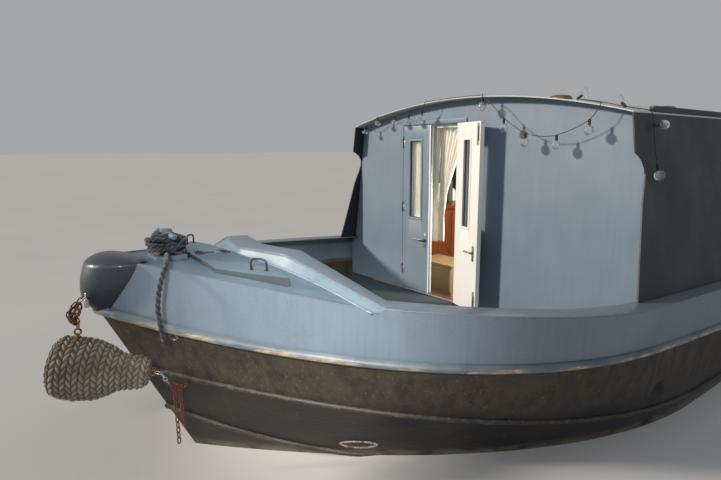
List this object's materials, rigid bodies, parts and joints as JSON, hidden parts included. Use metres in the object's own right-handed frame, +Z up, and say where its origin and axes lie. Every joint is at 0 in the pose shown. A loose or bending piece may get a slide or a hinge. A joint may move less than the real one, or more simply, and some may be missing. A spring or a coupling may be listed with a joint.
{
  "type": "steel canal houseboat",
  "caption": "Wide-beam steel houseboat with a Dutch-barge bow, forward well, arched cabin with hinged doors, rope bow fender, aft steering deck, rudder with tiller and propeller.",
  "frame": {"origin": "underside of the flat baseplate, on the centreline, half way along the hull between stem head and the stern end of the base hull length", "axes": "+X towards the bow, +Y to port, +Z up"},
  "size_m": [15.4281, 3.7778, 3.1953],
  "materials": {
    "blacking": "matt bitumen paint, scuffed, with rust",
    "blue_grey": "satin paint, weathered",
    "deck_grey": "satin deck paint, dusty",
    "cabin_grey": "satin paint",
    "cream": "satin paint",
    "white": "satin paint",
    "steel": "satin tube",
    "rusty_steel": "rusty",
    "black_steel": "worn black paint",
    "bronze": "dull",
    "rope_blue": "laid rope",
    "rope_tan": "woven rope",
    "wood": "varnished",
    "plain_wood": "satin",
    "cloth": "plain curtain cloth",
    "glass": "clear",
    "lamp_cable": "black cable with clear globes",
    "engine_green": "enamel"
  },
  "bodies": {
    "boat": {"hull_bottom": "blacking", "hull_side_port": "blacking", "hull_side_starboard": "blacking", "hull_bow": "blacking", "hull_stern": "blacking", "topsides": "blue_grey", "rubbing_strake": "blue_grey", "capping": "blue_grey", "coaming": "deck_grey", "foredeck": "deck_grey", "stem_head": "blue_grey", "tee_stud": "black_steel", "cabin_side_port": "cabin_grey", "cabin_side_starboard": "cabin_grey", "glazing_port": "glass", "glazing_starboard": "glass", "roof": "cream", "roof_rail_port": "cabin_grey", "roof_rail_starboard": "cabin_grey", "front_bulkhead": "blue_grey", "front_door_frame": "white", "bow_fender": "rope_tan", "fender_chain_stem": "rusty_steel", "fender_chain_tail": "rusty_steel", "rope_tail": "rope_blue", "light_string": "lamp_cable", "rope_turns": "rope_blue", "cabin_floor": "plain_wood", "door_step": "plain_wood", "galley_cupboard": "wood", "partition": "plain_wood", "door_curtain": "cloth", "well_deck": "deck_grey", "aft_deck": "deck_grey", "engine": "engine_green", "rear_bulkhead": "cabin_grey", "stern_rail": "steel", "stern_stud_port": "black_steel", "stern_stud_starboard": "black_steel", "roof_vent_1": "bronze", "roof_vent_2": "bronze", "roof_vent_3": "bronze"},
    "front_door_port": {"front_door_port": "white", "front_door_port_glass": "glass"},
    "front_door_starboard": {"front_door_starboard": "blue_grey", "front_door_starboard_glass": "glass"},
    "rear_door_port": {"rear_door_port": "white", "rear_door_port_glass": "glass"},
    "rear_door_starboard": {"rear_door_starboard": "white", "rear_door_starboard_glass": "glass"},
    "foredeck_hatch_port": {"foredeck_hatch_port": "deck_grey"},
    "foredeck_hatch_starboard": {"foredeck_hatch_starboard": "deck_grey"},
    "engine_hatch_port": {"engine_hatch_port": "deck_grey"},
    "engine_hatch_starboard": {"engine_hatch_starboard": "deck_grey"},
    "rudder": {"rudder": "black_steel"},
    "propeller": {"propeller": "bronze"}
  },
  "joints": [
    {"name": "front_door_port_hinge", "type": "hinge", "parent": "boat", "child": "front_door_port", "pos_m": [4.357, -0.057, 2], "axis": [0, 0, 1], "range_deg": [-161.5, 0]},
    {"name": "front_door_starboard_hinge", "type": "hinge", "parent": "boat", "child": "front_door_starboard", "pos_m": [4.357, -0.861, 2], "axis": [0, 0, 1], "range_deg": [-160, 0]},
    {"name": "rear_door_port_hinge", "type": "hinge", "parent": "boat", "child": "rear_door_port", "pos_m": [-5.043, 0.44, 2.1], "axis": [0, 0, 1], "range_deg": [-90, 0]},
    {"name": "rear_door_starboard_hinge", "type": "hinge", "parent": "boat", "child": "rear_door_starboard", "pos_m": [-5.043, -0.44, 2.1], "axis": [0, 0, 1], "range_deg": [0, 90]},
    {"name": "foredeck_hatch_port_hinge", "type": "hinge", "parent": "boat", "child": "foredeck_hatch_port", "pos_m": [6.662, 0.01, 1.96543], "axis": [0.9971, 0, 0.0765], "range_deg": [0, 75]},
    {"name": "foredeck_hatch_starboard_hinge", "type": "hinge", "parent": "boat", "child": "foredeck_hatch_starboard", "pos_m": [6.662, -0.01, 1.96543], "axis": [0.9971, 0, 0.0765], "range_deg": [-75, 0]},
    {"name": "engine_hatch_port_hinge", "type": "hinge", "parent": "boat", "child": "engine_hatch_port", "pos_m": [-5.613, 0.545, 1.2643], "axis": [1, 0, 0], "range_deg": [-95, 0]},
    {"name": "engine_hatch_starboard_hinge", "type": "hinge", "parent": "boat", "child": "engine_hatch_starboard", "pos_m": [-5.613, -0.545, 1.2643], "axis": [1, 0, 0], "range_deg": [0, 95]},
    {"name": "rudder_hinge", "type": "hinge", "parent": "boat", "child": "rudder", "pos_m": [-6.81, 0, 0.6], "axis": [0, 0, 1], "range_deg": [-35, 35]},
    {"name": "propeller_spin", "type": "hinge", "parent": "boat", "child": "propeller", "pos_m": [-6.49, 0, 0.295], "axis": [1, 0, 0], "continuous": true}
  ]
}
